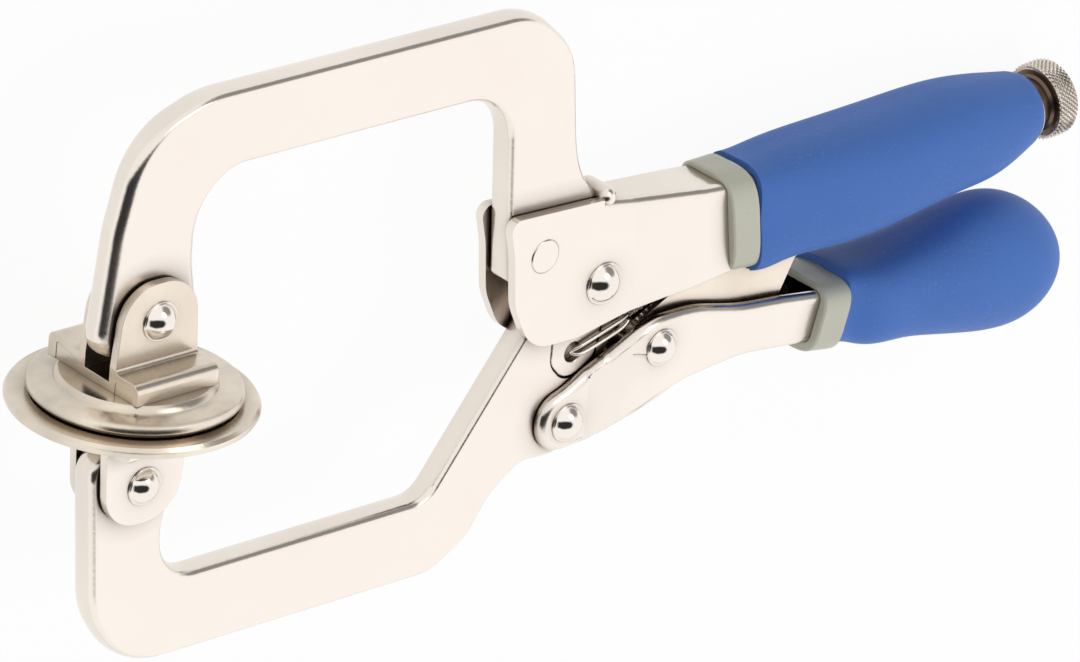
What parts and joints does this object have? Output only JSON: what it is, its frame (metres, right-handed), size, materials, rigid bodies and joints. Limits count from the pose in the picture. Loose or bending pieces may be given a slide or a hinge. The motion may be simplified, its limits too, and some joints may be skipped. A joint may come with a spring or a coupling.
{
  "type": "locking face clamp",
  "caption": "Locking clamp with deep flat C-shaped arms, round swivel pads, cushioned handles and a knurled adjusting screw.",
  "frame": {"origin": "centre of the lower swivel pad's face, where the two pads meet when the clamp is shut", "axes": "+X from the pads along the handles to the adjusting knob, +Y from the lower arm to the upper arm, +Z through the thickness"},
  "size_m": [0.249, 0.1089, 0.045],
  "materials": {
    "plated_steel": "satin nickel plate",
    "pad_nickel": "satin nickel plate, darker and warmer",
    "rivet_chrome": "polished",
    "grip_blue": "soft matte",
    "band_grey": "satin",
    "spring_steel": "bright wire"
  },
  "bodies": {
    "frame": {"upper_handle_channel": "plated_steel", "upper_arm": "plated_steel", "arm_weld_bead": "plated_steel", "arm_rivet": "plated_steel", "jaw_pivot_rivet": "rivet_chrome", "upper_grip": "grip_blue", "upper_grip_band": "band_grey", "screw_nut": "plated_steel", "spring_anchor": "plated_steel", "return_spring": "spring_steel"},
    "lower_jaw": {"lower_arm": "plated_steel", "spring_lug": "plated_steel"},
    "lower_handle": {"lower_handle_channel": "plated_steel", "handle_pivot_rivet": "rivet_chrome", "link_rivet": "rivet_chrome", "link_spacers": "plated_steel", "handle_stop_tongue": "plated_steel", "lower_grip": "grip_blue", "lower_grip_band": "band_grey"},
    "toggle_link": {"toggle_link": "plated_steel"},
    "screw_carrier": {"screw_retaining_ring": "spring_steel"},
    "screw": {"adjusting_screw": "plated_steel"},
    "upper_pad": {"upper_pad_disc": "pad_nickel", "upper_yoke": "pad_nickel", "upper_yoke_rivet": "rivet_chrome", "upper_pad_rivet": "pad_nickel"},
    "lower_pad": {"lower_pad_disc": "pad_nickel", "lower_yoke": "pad_nickel", "lower_yoke_rivet": "rivet_chrome", "lower_pad_rivet": "pad_nickel"}
  },
  "joints": [
    {"name": "jaw_pivot", "type": "hinge", "parent": "frame", "child": "lower_jaw", "pos_m": [0.106, -0.002, 0], "axis": [0, 0, 1], "range_deg": [0, 35], "deforming": ["return_spring"]},
    {"name": "handle_pivot", "type": "hinge", "parent": "lower_jaw", "child": "lower_handle", "pos_m": [0.1006, -0.0287, 0], "axis": [0, 0, 1], "range_deg": [-86, 0]},
    {"name": "link_pivot", "type": "hinge", "parent": "lower_handle", "child": "toggle_link", "pos_m": [0.1206, -0.0176, 0], "axis": [0, 0, 1], "range_deg": [0, 90]},
    {"name": "upper_pad_swivel", "type": "hinge", "parent": "frame", "child": "upper_pad", "pos_m": [0.0005, 0.0157, 0], "axis": [0, 0, 1], "range_deg": [0, 18]},
    {"name": "lower_pad_swivel", "type": "hinge", "parent": "lower_jaw", "child": "lower_pad", "pos_m": [0, -0.016, 0], "axis": [0, 0, 1], "range_deg": [-18, 0]},
    {"name": "screw_advance", "type": "slide", "parent": "frame", "child": "screw_carrier", "axis": [0.9966, 0.0819, 0], "range_m": [0, 0.0046]},
    {"name": "screw_turn", "type": "hinge", "parent": "screw_carrier", "child": "screw", "pos_m": [0.2237, 0.0075, 0], "axis": [0.9966, 0.0819, 0], "range_deg": [0, 830]}
  ],
  "couplings": [
    {"joint": "handle_pivot", "follows": "jaw_pivot", "ratio": -2.45},
    {"joint": "link_pivot", "follows": "jaw_pivot", "ratio": 2.55},
    {"joint": "upper_pad_swivel", "follows": "jaw_pivot", "ratio": 0.5},
    {"joint": "lower_pad_swivel", "follows": "jaw_pivot", "ratio": -0.5},
    {"joint": "screw_turn", "follows": "screw_advance", "rad_per_m": 3141.6}
  ]
}
